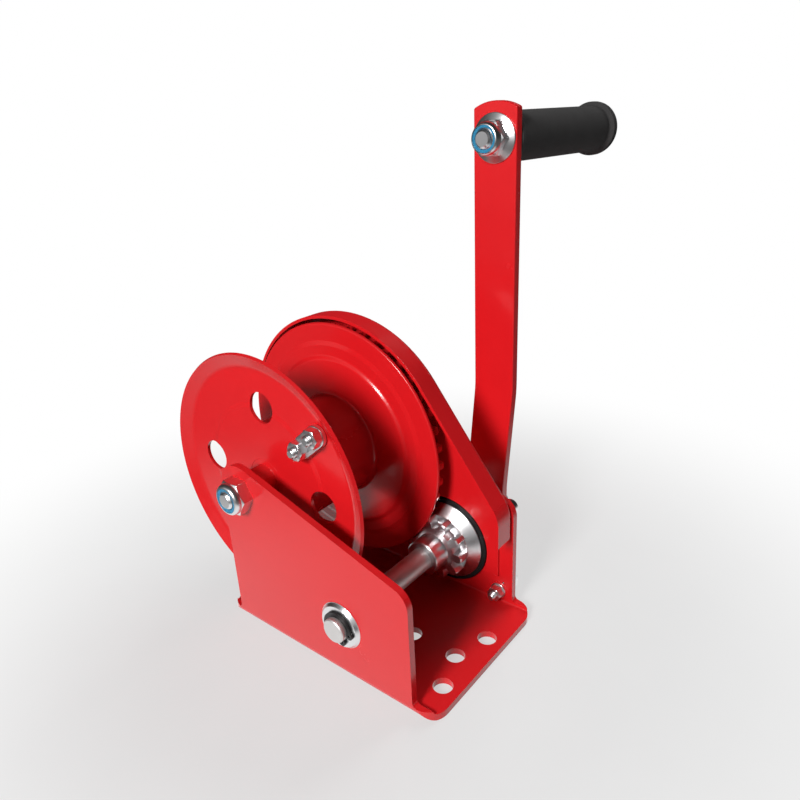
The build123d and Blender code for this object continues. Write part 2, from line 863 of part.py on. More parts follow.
def pawl_spring():
    """Wire spring from the plate round the spacer to the front of the pawl."""
    coil_bend = pawl_spacer_size / 2
    bends = [spring_bend, coil_bend, coil_bend, coil_bend, spring_bend]
    route = FilletPolyline(*spring_route(), radius=bends)
    section = Plane(origin=route @ 0, z_dir=route % 0) * Circle(spring_wire / 2)
    return sweep(section, path=route)


def crank_arm():
    """Flat bar set outwards by two bends, with a round hub end and a slightly bowed top."""
    low = arm_low_face + arm_thickness / 2
    high = arm_high_face + arm_thickness / 2
    bottom = pinion_height - arm_width / 2
    top = grip_axis[1] + arm_end_rise
    side = FilletPolyline(
        (low, bottom),
        (low, pinion_height + arm_bend_low),
        (high, pinion_height + arm_bend_high),
        (high, top),
        radius=arm_bend_radius,
    )
    bar = extrude(Plane.YZ * trace(side, line_width=arm_thickness), amount=arm_width / 2, both=True)
    half = arm_width / 2
    shoulder = top - arm_end_sagitta
    upper = make_face(
        [
            Line((-half, shoulder), (-half, pinion_height)),
            Line((-half, pinion_height), (half, pinion_height)),
            Line((half, pinion_height), (half, shoulder)),
            ThreePointArc((half, shoulder), (0, top), (-half, shoulder)),
        ]
    )
    front = upper + Pos(0, pinion_height) * Circle(half)
    arm = Pos(pinion_x, 0, 0) * (bar & slab(front, arm_low_face, arm_high_back))
    arm -= disc(pinion_axis, crank_spigot, arm_low_face, arm_low_back)
    return arm - disc(grip_axis, grip_bolt_size + 2 * bolt_clearance, arm_high_face, arm_high_back)


def crank_hub():
    """Threaded hub welded to the crank, its flange pressing on the brake."""
    bore = thread_size / 2 + running_fit
    profile = Polygon(
        (bore, crank_flange_face),
        (crank_flange_size / 2, crank_flange_face),
        (crank_flange_size / 2, crank_hub_face),
        (crank_hub_size / 2, crank_hub_face),
        (crank_hub_size / 2, arm_low_face),
        (crank_spigot / 2, arm_low_face),
        (crank_spigot / 2, arm_low_back),
        (bore, arm_low_back),
        align=None,
    )
    return turned(pinion_axis, profile)


def shaft_washer():
    """Washer that stops the crank at the end of the shaft."""
    start = arm_low_back + thrust_gap
    end = start + shaft_washer_thickness
    return disc(pinion_axis, shaft_washer_size, start, end, shaft_end_size + 2 * thread_fit)


def shaft_nut():
    """Nut on the end of the shaft."""
    start = arm_low_back + thrust_gap + shaft_washer_thickness
    nut = hexagon(pinion_axis, shaft_nut_flats, start, start + shaft_nut_height)
    return nut - disc(pinion_axis, shaft_end_size + 2 * thread_fit, start, start + shaft_nut_height)


def grip_end():
    """Outer end of the grip along Y."""
    return arm_high_back + grip_gap + grip_length


def grip_bolt():
    """Bolt through the arm that carries the grip, its head sunk in the grip's end."""
    head_start = grip_end() - grip_pocket_depth + thrust_gap
    end = arm_high_face - grip_nut_height - grip_bolt_reach
    shank = bolt_shank(grip_axis, grip_bolt_size, end, head_start)
    return shank + hexagon(grip_axis, grip_bolt_flats, head_start, head_start + grip_bolt_head)


def grip_nut():
    """Flanged lock nut of the grip's bolt."""
    nut = lock_nut(grip_axis, grip_nut_flats, arm_high_face, grip_nut_height, grip_bolt_size)
    corner = grip_nut_flats / 2
    skirt = Polygon(
        (grip_bolt_size / 2 + thread_fit, arm_high_face),
        (grip_nut_flange / 2, arm_high_face),
        (grip_nut_flange / 2, arm_high_face - grip_nut_flange_height / 3),
        (corner, arm_high_face - grip_nut_flange_height),
        (grip_bolt_size / 2 + thread_fit, arm_high_face - grip_nut_flange_height),
        align=None,
    )
    return nut + turned(grip_axis, skirt)


def grip_nut_insert():
    """Insert of the grip bolt's lock nut."""
    return nut_insert(grip_axis, arm_high_face, grip_nut_height, grip_bolt_size)


def crank_grip():
    """Turning grip with a flared end flange and a pocket for the bolt's head."""
    bore = grip_bolt_size / 2 + running_fit
    start = arm_high_back + grip_gap
    end = grip_end()
    flange_start = end - grip_flange_thickness
    pocket = end - grip_pocket_depth
    flange = grip_flange / 2
    profile = Polygon(
        (bore, start),
        (grip_collar / 2, start),
        (grip_collar / 2, start + grip_collar_length),
        (grip_size / 2, start + grip_collar_length + grip_collar_slope),
        (grip_end_size / 2, flange_start - grip_flare),
        (flange, flange_start),
        (flange, end),
        (grip_pocket / 2, end),
        (grip_pocket / 2, pocket),
        (bore, pocket),
        align=None,
    )
    rim = profile.vertices().group_by(Axis.X)[-1]
    return turned(grip_axis, fillet(rim, grip_flange_thickness / 3))


PIECES = [
    base_frame,
    gear_guard,
    axle_sleeve,
    drum_bolt,
    drum_nut,
    drum_nut_insert,
    drum_near_flange,
    drum_barrel,
    drum_far_flange,
    drum_gear,
    drum_bushes,
    rope_clamp,
    clamp_bolts,
    clamp_nuts,
    pinion,
    pinion_shaft,
    near_bush,
    far_bush,
    shaft_circlip,
    brake_hub,
    inner_friction_disc,
    ratchet_wheel,
    outer_friction_disc,
    pawl,
    pawl_bolt,
    pawl_spacer,
    pawl_nut,
    pawl_spring,
    crank_arm,
    crank_hub,
    shaft_washer,
    shaft_nut,
    grip_bolt,
    grip_nut,
    grip_nut_insert,
    crank_grip,
]

os.makedirs("parts", exist_ok=True)
for piece in PIECES:
    export_step(piece(), f"parts/{piece.__name__}.step")
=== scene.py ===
import json
import math

import bmesh
import bpy
from mathutils import Matrix, Vector


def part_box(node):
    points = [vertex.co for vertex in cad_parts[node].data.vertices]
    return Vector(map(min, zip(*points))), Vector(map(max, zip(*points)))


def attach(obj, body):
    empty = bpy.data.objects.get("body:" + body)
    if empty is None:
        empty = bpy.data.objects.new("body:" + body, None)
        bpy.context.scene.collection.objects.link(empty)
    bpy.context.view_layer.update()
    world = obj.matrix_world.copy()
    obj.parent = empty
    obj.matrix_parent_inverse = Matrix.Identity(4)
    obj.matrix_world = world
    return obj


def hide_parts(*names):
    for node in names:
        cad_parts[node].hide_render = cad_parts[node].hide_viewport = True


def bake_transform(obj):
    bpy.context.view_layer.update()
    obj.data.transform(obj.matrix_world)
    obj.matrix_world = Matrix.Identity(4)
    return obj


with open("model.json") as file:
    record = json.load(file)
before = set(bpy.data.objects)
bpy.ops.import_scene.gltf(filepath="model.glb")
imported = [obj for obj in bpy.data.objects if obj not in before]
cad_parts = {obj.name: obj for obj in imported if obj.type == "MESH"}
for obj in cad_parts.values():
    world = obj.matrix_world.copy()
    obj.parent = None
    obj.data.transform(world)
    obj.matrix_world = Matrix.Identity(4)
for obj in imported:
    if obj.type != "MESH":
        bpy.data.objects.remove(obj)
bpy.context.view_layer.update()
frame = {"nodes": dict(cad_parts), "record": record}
NODES = frame["nodes"]
RECORD = frame["record"]
BODY = {node: body for body, nodes in RECORD["behaviour"]["bodies"].items() for node in nodes}
SLOT = {part["node"]: part["material_slot"] for part in RECORD["subparts"]}
AXIS = {joint["name"]: Vector(joint["pos_m"]) for joint in RECORD["behaviour"]["joints"]}
MM = 0.001

# Camera of the photograph, in metres, degrees and pixels, and its sensor in millimetres
CAMERA_PLACE = (0.1636, -0.2434, 0.2815)
CAMERA_AZIMUTH = 39.60
CAMERA_ELEVATION = 22.36
CAMERA_ROLL = -2.89
CAMERA_FOCAL = 680.0
CAMERA_NEAREST = 0.01
IMAGE_SIZE = 800.0
SENSOR = 36.0

# Lamps in degrees, metres and watts, and the point that they face
KEY_AZIMUTH = 7.0
KEY_ELEVATION = 29.0
KEY_DISTANCE = 1.6
KEY_SIZE = 0.4
KEY_POWER = 28.5
BACK_AZIMUTH = -178.0
BACK_ELEVATION = 32.0
BACK_DISTANCE = 2.0
BACK_SIZE = 1.4
BACK_POWER = 38.0
MIDDLE = (-0.06, 0.03, 0.12)

# Room: its dim light, and a wall that only reflections show, with its edges as parts of a direction
WHITE = (1.0, 1.0, 1.0)
ROOM_LEVEL = 0.025
WALL_LEVEL = 0.5
WALL_SIDE = (-0.75, -0.45)
WALL_TOP = (0.5, 0.7)

# Floor in metres, with distances from its centre between which it changes
FLOOR_HALF = 4.0
FLOOR_CENTRE = (-0.06, 0.02, 0.0)
FLOOR_WHITE_RUN = (0.12, 0.40)
FLOOR_MIRRORED_RUN = (0.14, 0.38)
FLOOR_RIGHT_RUN = (0.06, 0.14)
FLOOR_FRONT_RUN = (-0.08, 0.0)

# Share of white in the floor under the object, and the shade that reflections show of it further out
FLOOR_GLOW = 0.55
FLOOR_SHADE = (0.1, 0.1, 0.1)

# Rounding of the edges of the pieces that are copied from their solids, in millimetres
EDGE_ROUNDING = {
    "base_frame": 0.7,
    "gear_guard": 0.6,
    "crank_arm": 0.8,
    "drum_near_flange": 0.9,
    "drum_gear": 0.35,
    "drum_bushes": 0.3,
    "axle_sleeve": 0.3,
    "rope_clamp": 0.7,
    "shaft_circlip": 0.2,
    "brake_hub": 0.3,
    "inner_friction_disc": 0.2,
    "ratchet_wheel": 0.3,
    "outer_friction_disc": 0.2,
    "pawl": 0.35,
    "pawl_spacer": 0.25,
    "crank_hub": 0.4,
    "shaft_washer": 0.25,
}
ROUNDING_SEGMENTS = 2
ROUND_PROFILE = 0.5

# Turns between faces in degrees: up to the first they are joined, past the others rounded or left sharp
FLAT_TURN = 0.4
ROUNDED_TURN = 25.0
CREASE_TURN = 38.0

# Weight of the large faces in the shading of a piece
FLAT_WEIGHT = 80

# Distances in metres within which points are joined, on a copied solid and on a new skin
COPY_WELD = 1e-6
SKIN_WELD = 1e-7

# Further bend of the near flange's lip: its start and ease in millimetres of radius, and its slope
LIP_START = 67.0
LIP_EASE = 2.0
LIP_SLOPE = 0.07

# Axes of the turned pieces, and places along Y in millimetres
DRUM_AXIS = AXIS["drum_spin"]
SHAFT_AXIS = AXIS["pinion_spin"]
PAWL_AXIS = AXIS["pawl_lift"]
GRIP_AXIS = AXIS["grip_spin"]
NEAR_PLATE = -44.5
FAR_PLATE_INSIDE = 55.5
FAR_PLATE = 59.5
CLAMP_SEAT = -28.4
NEAR_FLANGE_BACK = -22.9
JOURNAL_END = 60.0
ARM_HUB_BACK = 104.0
ARM_TOP_FACE = 108.6
GRIP_START = 115.2
GRIP_END = 241.2

# Pocket in the grip's end, and play between pieces that turn on each other, in millimetres
POCKET_DEPTH = 10.0
PLAY = 0.2

# Columns round the turned pieces, and steps of their finer shapes
TURNED_COLUMNS = 128
STUD_COLUMNS = 64
BOLT_COLUMNS = 96
NUT_COLUMNS = 120
BARREL_COLUMNS = 192
FLANGE_COLUMNS = 256
PINION_COLUMNS = 720
ARC_STEPS = 4
BEVEL_STEPS = 8
COLLAR_STEPS = 8
THREAD_STEPS = 8
FLARE_STEPS = 3
FLANK_HALVINGS = 20

# Rounding where a hexagon's or a tooth's ridge meets what it rises from, in millimetres
HEX_BLEND = 0.25
TOOTH_BLEND = 0.06

# Sizes that several fasteners share, in millimetres and degrees, or as shares of a length
THREAD_FIT = 0.05
THREAD_DEPTH = 0.5
TIP_BEVEL = 0.17
NUT_BEVEL = 30.0
COLLAR_SHARE = 0.33
RIM_SHARE = 1 / 3
INSERT_WALL = 1.4
INSERT_DEPTH = 2.4
INSERT_RECESS = 0.5
INSERT_LIP = 0.7

# Thread and head of the drum's and the grip's bolts; the shaft's end has the same thread
BOLT = 12.0
BOLT_PITCH = 1.75
BOLT_THREAD = 5.0
HEAD_FLATS = 18.0
HEAD_HEIGHT = 7.5


class Socket:
    """A shader socket that takes part in Python arithmetic."""

    def __init__(self, shader, socket):
        self.shader = shader
        self.socket = socket

    def math(self, operation, *values):
        """Adds a Math node and gives its value."""
        outputs = self.shader.node("ShaderNodeMath", {"operation": operation}, dict(enumerate(values)))
        return outputs["Value"]

    def __add__(self, other):
        return self.math("ADD", self, other)

    def __radd__(self, other):
        return self.math("ADD", other, self)

    def __sub__(self, other):
        return self.math("SUBTRACT", self, other)

    def __rsub__(self, other):
        return self.math("SUBTRACT", other, self)

    def __mul__(self, other):
        return self.math("MULTIPLY", self, other)

    def __rmul__(self, other):
        return self.math("MULTIPLY", other, self)

    def step(self, low, high):
        """Rises smoothly from 0 at low to 1 at high."""
        settings = {"interpolation_type": "SMOOTHSTEP"}
        sockets = {"Value": self, "From Min": low, "From Max": high}
        return self.shader.node("ShaderNodeMapRange", settings, sockets)["Result"]


class Shader:
    """The node tree of one material or world and the ways to add nodes to it."""

    # Numbers of a Mix node's sockets for colours, whose names other sockets have too
    MIX_FACTOR = 0
    MIX_FIRST = 6
    MIX_SECOND = 7

    def __init__(self, owner):
        owner.use_nodes = True
        self.owner = owner
        self.tree = owner.node_tree
        self.tree.nodes.clear()

    def node(self, kind, settings=None, sockets=None):
        """Adds a node of any kind; its outputs come back as a dictionary of sockets."""
        node = self.tree.nodes.new(kind)
        for key, value in (settings or {}).items():
            setattr(node, key, value)
        for key, value in (sockets or {}).items():
            if isinstance(value, Socket):
                self.tree.links.new(value.socket, node.inputs[key])
            else:
                node.inputs[key].default_value = value
        return {out.name: Socket(self, out) for out in node.outputs if out.enabled}

    def vector_math(self, operation, *values):
        """Adds a Vector Math node; a length comes back as a value, all else as a vector."""
        outputs = self.node("ShaderNodeVectorMath", {"operation": operation}, dict(enumerate(values)))
        return outputs["Value" if operation == "LENGTH" else "Vector"]

    def parts(self, vector):
        """The X, Y and Z of a vector."""
        return self.node("ShaderNodeSeparateXYZ", None, {"Vector": vector})

    def place(self, stretch=None):
        """Place on the object in metres, stretched along its axes if asked."""
        place = self.node("ShaderNodeTexCoord")["Object"]
        if stretch:
            place = self.node("ShaderNodeMapping", None, {"Vector": place, "Scale": stretch})["Vector"]
        return place

    def noise(self, scale, detail=3.0, rough=0.5, stretch=None):
        """Noise from 0 to 1; scale is in features per metre."""
        sockets = {"Vector": self.place(stretch), "Scale": scale, "Detail": detail, "Roughness": rough}
        return self.node("ShaderNodeTexNoise", None, sockets)["Fac"]

    def mix(self, factor, first, second):
        """A colour between two colours."""
        sockets = {self.MIX_FACTOR: factor, self.MIX_FIRST: (*first, 1.0), self.MIX_SECOND: (*second, 1.0)}
        return self.node("ShaderNodeMix", {"data_type": "RGBA"}, sockets)["Result"]

    def bump(self, height, depth):
        """A normal tilted as if the surface rose and fell by a depth in millimetres."""
        return self.node("ShaderNodeBump", None, {"Height": height, "Distance": depth * MM})["Normal"]

    def principled(self, **sockets):
        """A surface shader, with socket names written with underscores."""
        named = {key.replace("_", " "): value for key, value in sockets.items()}
        return self.node("ShaderNodeBsdfPrincipled", None, named)["BSDF"]

    def blend(self, factor, first, second):
        """A shader between two shaders."""
        return self.node("ShaderNodeMixShader", None, {0: factor, 1: first, 2: second})["Shader"]

    def close(self, shader):
        """Ends the tree with this shader."""
        kind = "World" if isinstance(self.owner, bpy.types.World) else "Material"
        self.node(f"ShaderNodeOutput{kind}", None, {"Surface": shader})
        return self.owner


def new_shader(name):
    """The empty node tree of a new material."""
    return Shader(bpy.data.materials.new(name))


def red_paint():
    """Glossy red paint with a faint orange peel, duller with dust where it faces up."""
    shader = new_shader("red_paint")
    peel = shader.noise(700.0, detail=2.0)
    haze = shader.noise(35.0, detail=4.0, rough=0.6).step(0.42, 0.75)
    shade = shader.noise(14.0)
    upward = shader.parts(shader.node("ShaderNodeNewGeometry")["Normal"])["Z"]
    dust = upward.step(0.4, 0.95)
    colour = shader.mix(shade, (0.61, 0.0085, 0.012), (0.66, 0.011, 0.0145))
    return shader.close(
        shader.principled(
            Base_Color=colour,
            Roughness=0.20 + 0.08 * haze + 0.25 * dust,
            Specular_IOR_Level=0.4,
            Coat_Weight=0.15 * (1.0 - dust),
            Coat_Roughness=0.06,
            Normal=shader.bump(peel, depth=0.04),
        )
    )


def zinc_plate():
    """Bright zinc plating with soft cloudy patches."""
    shader = new_shader("zinc_plate")
    cloud = shader.noise(90.0)
    fine = shader.noise(1500.0, detail=2.0)
    colour = shader.mix(cloud, (0.70, 0.70, 0.71), (0.80, 0.80, 0.81))
    return shader.close(
        shader.principled(
            Base_Color=colour,
            Metallic=1.0,
            Roughness=0.25 + 0.08 * cloud,
            Normal=shader.bump(fine, depth=0.006),
        )
    )


def turned_zinc(axis):
    """Bright zinc plating over fine turning marks round an axis along Y."""
    shader = new_shader("turned_zinc")
    cloud = shader.noise(90.0)
    offset = shader.vector_math("SUBTRACT", shader.place(), axis)
    level = shader.vector_math("MULTIPLY", offset, (1.0, 0.0, 1.0))
    radius = shader.vector_math("LENGTH", level)
    sockets = {"W": radius, "Scale": 1400.0, "Detail": 3.0}
    marks = shader.node("ShaderNodeTexNoise", {"noise_dimensions": "1D"}, sockets)["Fac"]
    colour = shader.mix(cloud, (0.62, 0.62, 0.63), (0.76, 0.76, 0.77))
    return shader.close(
        shader.principled(
            Base_Color=colour,
            Metallic=1.0,
            Roughness=0.26 + 0.06 * cloud,
            Normal=shader.bump(marks, depth=0.04),
        )
    )


def plain_steel():
    """Turned steel with fine rings."""
    shader = new_shader("plain_steel")
    rings = shader.noise(40.0, detail=2.0, stretch=(1.0, 60.0, 1.0))
    cloud = shader.noise(60.0, detail=4.0, rough=0.6)
    colour = shader.mix(cloud, (0.58, 0.56, 0.55), (0.70, 0.69, 0.68))
    return shader.close(
        shader.principled(
            Base_Color=colour,
            Metallic=0.8,
            Roughness=0.42 + 0.12 * rings,
            Normal=shader.bump(rings, depth=0.02),
        )
    )


def black_plastic(name, grain, rough, pale, shine):
    """Black moulded plastic with a fine grain."""
    shader = new_shader(name)
    grit = shader.noise(grain)
    haze = shader.noise(50.0, detail=4.0)
    dark = (0.8 * pale, 0.78 * pale, 0.78 * pale)
    light = (1.2 * pale, 1.16 * pale, 1.16 * pale)
    return shader.close(
        shader.principled(
            Base_Color=shader.mix(haze, dark, light),
            Roughness=rough + 0.12 * haze,
            Specular_IOR_Level=shine,
            Normal=shader.bump(grit, depth=0.04),
        )
    )


def blue_nylon():
    """Blue insert of a lock nut."""
    shader = new_shader("blue_nylon")
    cloud = shader.noise(500.0)
    colour = shader.mix(cloud, (0.012, 0.14, 0.27), (0.03, 0.24, 0.40))
    return shader.close(shader.principled(Base_Color=colour, Roughness=0.30 + 0.1 * cloud))


def black_oxide():
    """Blackened spring steel."""
    shader = new_shader("black_oxide")
    cloud = shader.noise(300.0)
    colour = shader.mix(cloud, (0.02, 0.02, 0.022), (0.05, 0.05, 0.05))
    return shader.close(shader.principled(Base_Color=colour, Metallic=0.7, Roughness=0.3 + 0.15 * cloud))


def spring_wire():
    """Drawn spring wire."""
    shader = new_shader("spring_wire")
    cloud = shader.noise(400.0)
    colour = shader.mix(cloud, (0.42, 0.42, 0.43), (0.6, 0.6, 0.6))
    return shader.close(shader.principled(Base_Color=colour, Metallic=1.0, Roughness=0.22 + 0.12 * cloud))


def brake_lining():
    """Pressed lining with short pale fibres."""
    shader = new_shader("brake_lining")
    speck = shader.noise(900.0, detail=4.0, rough=0.7).step(0.55, 0.7)
    return shader.close(
        shader.principled(
            Base_Color=shader.mix(speck, (0.10, 0.065, 0.045), (0.30, 0.22, 0.15)),
            Roughness=0.75 + 0.1 * speck,
            Normal=shader.bump(speck, depth=0.08),
        )
    )


FINISHES = {
    "red_paint": red_paint(),
    "zinc_plate": zinc_plate(),
    "plain_steel": plain_steel(),
    "black_bush": black_plastic("black_bush", grain=1800.0, rough=0.35, pale=0.012, shine=0.2),
    "blue_insert": blue_nylon(),
    "black_oxide": black_oxide(),
    "spring_steel": spring_wire(),
    "black_grip": black_plastic("black_grip", grain=1200.0, rough=0.65, pale=0.055, shine=0.05),
    "brake_lining": brake_lining(),
}

# Finishes that a piece has in place of its slot's
NODE_FINISHES = {"pinion": turned_zinc(SHAFT_AXIS)}


def make_piece(shape, node):
    """Makes an object of a finished mesh, which then stands for a CAD node."""
    name = f"{node}_finished"
    for face in shape.faces:
        face.smooth = True
    mesh = bpy.data.meshes.new(name)
    shape.to_mesh(mesh)
    shape.free()
    mesh.set_sharp_from_angle(angle=math.radians(CREASE_TURN))
    mesh.materials.append(NODE_FINISHES.get(node, FINISHES[SLOT[node]]))
    piece = bpy.data.objects.new(name, mesh)
    bpy.context.collection.objects.link(piece)
    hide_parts(node)
    return piece


def add_piece(shape, node):
    """Puts a finished mesh in the place of a CAD node, its flat faces kept flat."""
    piece = make_piece(shape, node)
    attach(piece, BODY[node])
    flat = piece.modifiers.new("flat_faces", "WEIGHTED_NORMAL")
    flat.weight = FLAT_WEIGHT
    flat.keep_sharp = True


def copied(node):
    """A copy of a CAD node's mesh, with its double points joined."""
    shape = bmesh.new()
    shape.from_mesh(NODES[node].data)
    bmesh.ops.remove_doubles(shape, verts=shape.verts, dist=COPY_WELD)
    return shape


def bend_lip(shape):
    """Bends the near flange's lip further towards the near plate, as the photograph shows it."""
    for vertex in shape.verts:
        out = math.hypot(vertex.co.x - DRUM_AXIS.x, vertex.co.z - DRUM_AXIS.z) - LIP_START * MM
        if out > 0.0:
            vertex.co.y -= LIP_SLOPE * out * out / (out + LIP_EASE * MM)


def round_edges(shape, radius):
    """Joins the faces that lie flat together and rounds the edges between the others."""
    flat = math.radians(FLAT_TURN)
    bmesh.ops.dissolve_limit(shape, angle_limit=flat, verts=shape.verts, edges=shape.edges)
    turn = math.radians(ROUNDED_TURN)
    edges = [edge for edge in shape.edges if edge.is_manifold and edge.calc_face_angle() > turn]
    bmesh.ops.bevel(
        shape,
        geom=edges,
        offset=radius * MM,
        offset_type="OFFSET",
        segments=ROUNDING_SEGMENTS,
        profile=ROUND_PROFILE,
        affect="EDGES",
        clamp_overlap=True,
    )


def soften(node, radius):
    """Copies a CAD node with its edges rounded, and the near flange's lip bent."""
    shape = copied(node)
    if node == "drum_near_flange":
        bend_lip(shape)
    round_edges(shape, radius)
    add_piece(shape, node)


class Row:
    """One ring of a skin: its radius and place, how far ridges may stand out and how deep a thread cuts."""

    def __init__(self, radius, place, limit=0.0, groove=0.0):
        self.radius = radius
        self.place = place
        self.limit = limit
        self.groove = groove


def soft_least(first, second, blend):
    """The smaller of two lengths, with the change from one to the other rounded off."""
    share = max(blend - abs(first - second), 0.0) / blend
    return min(first, second) - share * share * blend / 4


def soft_most(first, second, blend):
    """The larger of two lengths, rounded off in the same way."""
    return -soft_least(-first, -second, blend)


def rounded(corners):
    """Rows along a closed outline of (radius, place, rounding), a corner with a rounding drawn as a curve."""
    rows = []
    for index, (radius, place, rounding) in enumerate(corners):
        corner = Vector((radius, place))
        if not rounding:
            rows.append(Row(radius, place))
            continue
        before = (Vector(corners[index - 1][:2]) - corner).normalized()
        after = (Vector(corners[(index + 1) % len(corners)][:2]) - corner).normalized()
        reach = rounding / math.tan(before.angle(after) / 2)
        for step in range(ARC_STEPS + 1):
            share = step / ARC_STEPS
            point = corner + before * reach * (1 - share) ** 2 + after * reach * share**2
            rows.append(Row(*point))
    return rows


def skin(shape, axis, rows, columns, outline=None, blend=HEX_BLEND, pitch=1.0):
    """Closed skin round an axis along Y, from rows that go round its section."""
    centre = Vector((axis.x, 0.0, axis.z))
    rings = []
    for row in rows:
        ring = []
        for column in range(columns):
            share = column / columns
            angle = 2 * math.pi * share
            radius = row.radius
            if row.groove:
                radius -= row.groove * abs(2 * ((row.place / pitch + share) % 1.0) - 1)
            if row.limit:
                ridge = soft_least(outline(angle), row.limit, blend)
                radius = soft_most(radius, ridge, blend)
            point = Vector((radius * math.cos(angle), row.place, radius * math.sin(angle)))
            ring.append(shape.verts.new(centre + point * MM))
        rings.append(ring)
    for low, high in zip(rings, rings[1:] + rings[:1]):
        for column in range(columns):
            after = (column + 1) % columns
            shape.faces.new((low[column], low[after], high[after], high[column]))
    bmesh.ops.remove_doubles(shape, verts=shape.verts, dist=SKIN_WELD)
    bmesh.ops.recalc_face_normals(shape, faces=shape.faces)


def hexagon(flats):
    """A function that gives a hexagon's radius at an angle."""
    sixth = math.pi / 3
    return lambda angle: flats / 2 / math.cos(angle % sixth - sixth / 2)


def turned(node, axes, rows, columns=TURNED_COLUMNS, flats=0.0, pitch=1.0):
    """A piece turned from rows, once for each of its axes, with hexagonal rows where flats are given."""
    shape = bmesh.new()
    for axis in axes:
        skin(shape, axis, rows, columns, hexagon(flats) if flats else None, pitch=pitch)
    add_piece(shape, node)


def hex_rows(base, flats, start, end, bevel_start=False):
    """Rows of a hexagonal prism, its corners turned off at its end and, if asked, at its start."""
    corner = flats / math.sqrt(3)
    drop = corner - flats / 2
    run = math.copysign(drop * math.tan(math.radians(NUT_BEVEL)), end - start)
    shares = [step / BEVEL_STEPS for step in range(BEVEL_STEPS + 1)]
    rows = [Row(base, start)]
    if bevel_start:
        rows += [Row(base, start + run * share, corner - drop * (1 - share)) for share in shares]
    else:
        rows.append(Row(base, start, corner))
    rows += [Row(base, end - run * (1 - share), corner - drop * share) for share in shares]
    return rows + [Row(base, end)]


def thread_rows(size, start, end, pitch):
    """Rows of a threaded end, with a chamfered tip at its start."""
    radius = size / 2
    tip = radius - size * TIP_BEVEL
    length = abs(end - start)
    count = int(length / pitch * THREAD_STEPS)
    rows = [Row(0.0, start), Row(tip, start)]
    for step in range(1, count + 1):
        along = length * step / count
        top = min(radius, tip + along)
        groove = max(0.0, THREAD_DEPTH * pitch - (radius - top))
        rows.append(Row(top, start + math.copysign(along, end - start), 0.0, groove))
    return rows


def skirt_rows(bore, flats, seat, flange, height):
    """Rows of a nut's flange: a low rim at its seat, and a slope from which the hexagon rises."""
    rim = seat - height * RIM_SHARE
    slope = height * (1 - RIM_SHARE)
    corners = [
        (bore, seat, 0),
        (flange / 2, seat, 0.3),
        (flange / 2, rim, 0.4),
        (flats / 2, rim - slope, 0),
    ]
    rows = rounded(corners)[:-1]
    for step in range(1, BEVEL_STEPS + 1):
        share = step / BEVEL_STEPS
        radius = flange / 2 + (flats - flange) / 2 * share
        rows.append(Row(radius, rim - slope * share, flats))
    return rows


def lock_nut(node, axis, seat, flats, height, flange=0.0, flange_height=0.0):
    """Lock nut with a domed collar over its insert, and a sloping flange at its seat where it has one."""
    bore = BOLT / 2 + THREAD_FIT
    insert = BOLT / 2 + INSERT_WALL
    end = seat - height
    hex_end = end + height * COLLAR_SHARE
    walls = hex_rows(bore, flats, seat - flange_height, hex_end)
    if flange:
        rows = skirt_rows(bore, flats, seat, flange, flange_height) + walls[1:-1]
    else:
        rows = walls[:-1]
    for step in range(1, COLLAR_STEPS + 1):
        turn = math.pi / 2 * step / COLLAR_STEPS
        radius = insert + (flats / 2 - insert) * math.cos(turn)
        rows.append(Row(radius, hex_end + (end - hex_end) * math.sin(turn)))
    rows += [Row(insert, end + INSERT_DEPTH), Row(bore, end + INSERT_DEPTH)]
    turned(node, [axis], rows, NUT_COLUMNS, flats)


def nut_insert(node, axis, seat, height):
    """Nylon ring of a lock nut, whose lip closes in on the bolt where it shows."""
    bore = BOLT / 2 + THREAD_FIT
    outer = BOLT / 2 + INSERT_WALL
    face = seat - height + INSERT_RECESS
    back = seat - height + INSERT_DEPTH
    corners = [
        (bore, back, 0),
        (bore, face + INSERT_LIP, 0),
        (bore - INSERT_LIP, face, 0.2),
        (outer, face, 0.2),
        (outer, back, 0),
    ]
    turned(node, [axis], rounded(corners))


def bolt_and_lock_nut(name, axis, seat, head, reach, flats, height, flange=0.0, flange_height=0.0):
    """Bolt with its head at one place and a lock nut on its seat at another, past which its tip reaches."""
    lock_nut(f"{name}_nut", axis, seat, flats, height, flange, flange_height)
    nut_insert(f"{name}_nut_insert", axis, seat, height)
    tip = seat - height - reach
    rows = thread_rows(BOLT, tip, tip + BOLT_THREAD, BOLT_PITCH)
    rows += hex_rows(BOLT / 2, HEAD_FLATS, head, head + HEAD_HEIGHT)
    rows.append(Row(0.0, head + HEAD_HEIGHT))
    turned(f"{name}_bolt", [axis], rows, BOLT_COLUMNS, HEAD_FLATS, BOLT_PITCH)


def drum_fasteners():
    """Bolt of the drum, with its lock nut on the near plate and its head on the far one."""
    bolt_and_lock_nut("drum", DRUM_AXIS, NEAR_PLATE, FAR_PLATE, reach=0.9, flats=19.0, height=10.5)


def grip_fasteners():
    """Bolt of the grip, with its flanged lock nut on the arm and its head in the grip's pocket."""
    bolt_and_lock_nut(
        "grip",
        GRIP_AXIS,
        ARM_TOP_FACE,
        GRIP_END - POCKET_DEPTH + PLAY,
        reach=1.8,
        flats=18.0,
        height=12.0,
        flange=27.0,
        flange_height=3.0,
    )


